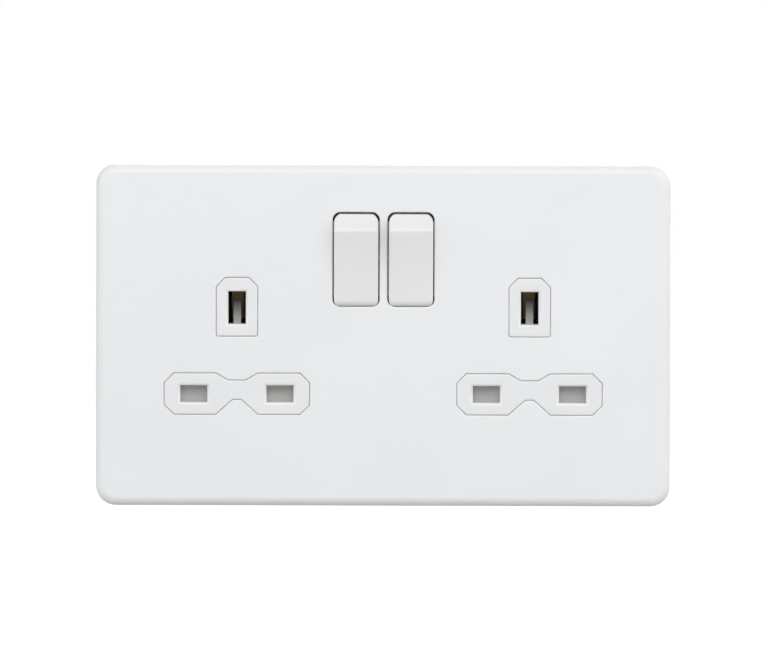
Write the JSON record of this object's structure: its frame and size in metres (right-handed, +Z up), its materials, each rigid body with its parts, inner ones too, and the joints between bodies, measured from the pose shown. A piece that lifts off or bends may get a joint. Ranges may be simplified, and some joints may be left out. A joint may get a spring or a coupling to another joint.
{
  "type": "uk twin socket",
  "caption": "Two-gang switched wall socket with rectangular pin apertures, spring shutters, rocker switches and a rounded clip-on cover plate.",
  "frame": {"origin": "on the wall plane, midway between the two fixing screws, which is the middle of the cover plate", "axes": "+X to the right seen from the front, +Y into the wall, +Z up"},
  "size_m": [0.148, 0.0302, 0.088],
  "materials": {
    "white_paint": "smooth satin white powder coat on pressed steel",
    "white_moulding": "smooth white thermoset moulding",
    "white_rocker": "smooth white moulding",
    "black_moulding": "matt black thermoset moulding",
    "spring_steel": "bright drawn wire",
    "retainer_plastic": "matt off-white moulding",
    "shutter_plastic": "matt grey-white moulding, sliding faces plain",
    "plunger_plastic": "natural nylon",
    "copper_strip": "pressed copper alloy strip, plain",
    "brass_block": "turned and drilled brass, plain",
    "brass_strip": "pressed brass strip, plain",
    "plated_screw": "zinc plated steel"
  },
  "bodies": {
    "base": {"case_screws": "plated_screw", "contact_carrier": "black_moulding", "cover_plate": "white_paint", "earth_bar": "brass_strip", "earth_strap_left": "brass_strip", "earth_strap_right": "brass_strip", "earth_terminal_left": "brass_block", "earth_terminal_right": "brass_block", "fixed_contact_left_line": "copper_strip", "fixed_contact_left_neutral": "copper_strip", "fixed_contact_right_line": "copper_strip", "fixed_contact_right_neutral": "copper_strip", "line_busbar": "copper_strip", "line_terminal": "brass_block", "neutral_busbar": "copper_strip", "neutral_terminal": "brass_block", "outlet_insert_left": "white_moulding", "outlet_insert_right": "white_moulding", "rear_housing": "black_moulding", "shutter_retainer_left": "retainer_plastic", "shutter_retainer_right": "retainer_plastic", "shutter_spring_left": "spring_steel", "shutter_spring_right": "spring_steel", "socket_front": "white_moulding", "terminal_screws": "plated_screw", "wall_screws": "plated_screw"},
    "rocker_left": {"rocker_left": "white_rocker", "plunger_spring_left_neutral": "spring_steel", "plunger_spring_left_line": "spring_steel"},
    "rocker_right": {"rocker_right": "white_rocker", "plunger_spring_right_neutral": "spring_steel", "plunger_spring_right_line": "spring_steel"},
    "plunger_left_neutral": {"plunger_left_neutral": "plunger_plastic"},
    "moving_contact_left_neutral": {"moving_contact_left_neutral": "copper_strip"},
    "plunger_left_line": {"plunger_left_line": "plunger_plastic"},
    "moving_contact_left_line": {"moving_contact_left_line": "copper_strip"},
    "plunger_right_line": {"plunger_right_line": "plunger_plastic"},
    "moving_contact_right_line": {"moving_contact_right_line": "copper_strip"},
    "plunger_right_neutral": {"plunger_right_neutral": "plunger_plastic"},
    "moving_contact_right_neutral": {"moving_contact_right_neutral": "copper_strip"},
    "shutter_left": {"shutter_left": "shutter_plastic"},
    "shutter_right": {"shutter_right": "shutter_plastic"}
  },
  "joints": [
    {"name": "rocker_left_rock", "type": "hinge", "parent": "base", "child": "rocker_left", "pos_m": [-0.00706, -0.0022, 0.0196], "axis": [1, 0, 0], "range_deg": [-14, 0]},
    {"name": "rocker_right_rock", "type": "hinge", "parent": "base", "child": "rocker_right", "pos_m": [0.00706, -0.0022, 0.0196], "axis": [1, 0, 0], "range_deg": [-14, 0]},
    {"name": "plunger_left_neutral_slide", "type": "slide", "parent": "rocker_left", "child": "plunger_left_neutral", "axis": [0, 0.9925, 0.1219], "range_m": [0, 0.00025], "stiffness_N_per_m": 2000, "springref_m": 0.002, "deforming": ["plunger_spring_left_neutral"]},
    {"name": "moving_contact_left_neutral_tip", "type": "hinge", "parent": "base", "child": "moving_contact_left_neutral", "pos_m": [-0.01021, 0.01025, 0.0196], "axis": [1, 0, 0], "range_deg": [0, 16]},
    {"name": "plunger_left_line_slide", "type": "slide", "parent": "rocker_left", "child": "plunger_left_line", "axis": [0, 0.9925, 0.1219], "range_m": [0, 0.00025], "stiffness_N_per_m": 2000, "springref_m": 0.002, "deforming": ["plunger_spring_left_line"]},
    {"name": "moving_contact_left_line_tip", "type": "hinge", "parent": "base", "child": "moving_contact_left_line", "pos_m": [-0.00391, 0.01025, 0.0196], "axis": [1, 0, 0], "range_deg": [0, 16]},
    {"name": "plunger_right_line_slide", "type": "slide", "parent": "rocker_right", "child": "plunger_right_line", "axis": [0, 0.9925, 0.1219], "range_m": [0, 0.00025], "stiffness_N_per_m": 2000, "springref_m": 0.002, "deforming": ["plunger_spring_right_line"]},
    {"name": "moving_contact_right_line_tip", "type": "hinge", "parent": "base", "child": "moving_contact_right_line", "pos_m": [0.01021, 0.01025, 0.0196], "axis": [1, 0, 0], "range_deg": [0, 16]},
    {"name": "plunger_right_neutral_slide", "type": "slide", "parent": "rocker_right", "child": "plunger_right_neutral", "axis": [0, 0.9925, 0.1219], "range_m": [0, 0.00025], "stiffness_N_per_m": 2000, "springref_m": 0.002, "deforming": ["plunger_spring_right_neutral"]},
    {"name": "moving_contact_right_neutral_tip", "type": "hinge", "parent": "base", "child": "moving_contact_right_neutral", "pos_m": [0.00391, 0.01025, 0.0196], "axis": [1, 0, 0], "range_deg": [0, 16]},
    {"name": "shutter_left_slide", "type": "slide", "parent": "base", "child": "shutter_left", "axis": [0, 0, -1], "range_m": [0, 0.006], "stiffness_N_per_m": 60, "springref_m": -0.004, "deforming": ["shutter_spring_left"]},
    {"name": "shutter_right_slide", "type": "slide", "parent": "base", "child": "shutter_right", "axis": [0, 0, -1], "range_m": [0, 0.006], "stiffness_N_per_m": 60, "springref_m": -0.004, "deforming": ["shutter_spring_right"]}
  ],
  "couplings": [
    {"joint": "moving_contact_left_neutral_tip", "follows": "rocker_left_rock", "ratio": -1.1429},
    {"joint": "moving_contact_left_line_tip", "follows": "rocker_left_rock", "ratio": -1.1429},
    {"joint": "moving_contact_right_line_tip", "follows": "rocker_right_rock", "ratio": -1.1429},
    {"joint": "moving_contact_right_neutral_tip", "follows": "rocker_right_rock", "ratio": -1.1429}
  ]
}
